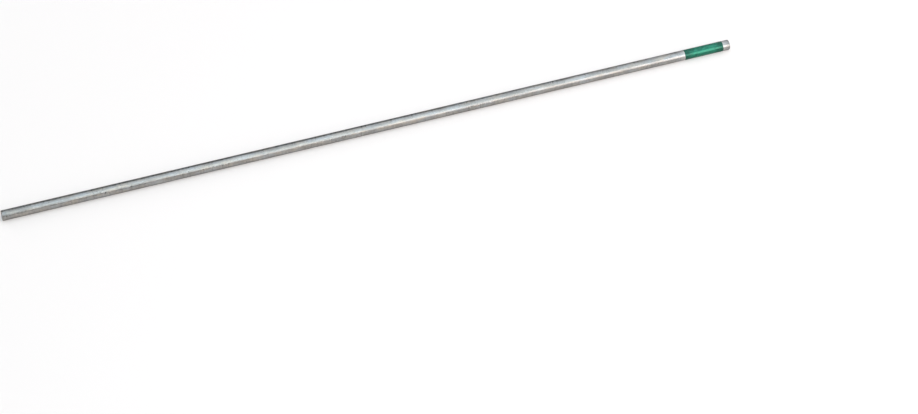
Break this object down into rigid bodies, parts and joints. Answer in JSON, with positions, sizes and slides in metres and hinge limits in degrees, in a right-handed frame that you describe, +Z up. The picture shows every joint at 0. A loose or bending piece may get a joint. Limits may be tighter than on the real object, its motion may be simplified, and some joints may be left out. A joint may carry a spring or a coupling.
{
  "type": "tig tungsten electrode",
  "caption": "Thin, straight, ground tungsten rod for gas tungsten arc welding, cut square at both ends, with a green lacquer colour band near one end.",
  "frame": {"origin": "on the rod's axis, halfway along it", "axes": "+X along the rod towards the end with the green band; the rod is round about X, and +Z is up as it lies in the picture"},
  "size_m": [0.175, 0.0024, 0.0024],
  "materials": {
    "ground_tungsten": "centreless ground",
    "green_lacquer": "satin lacquer"
  },
  "bodies": {
    "root": {"electrode_rod": "ground_tungsten", "green_band": "green_lacquer"}
  },
  "joints": []
}
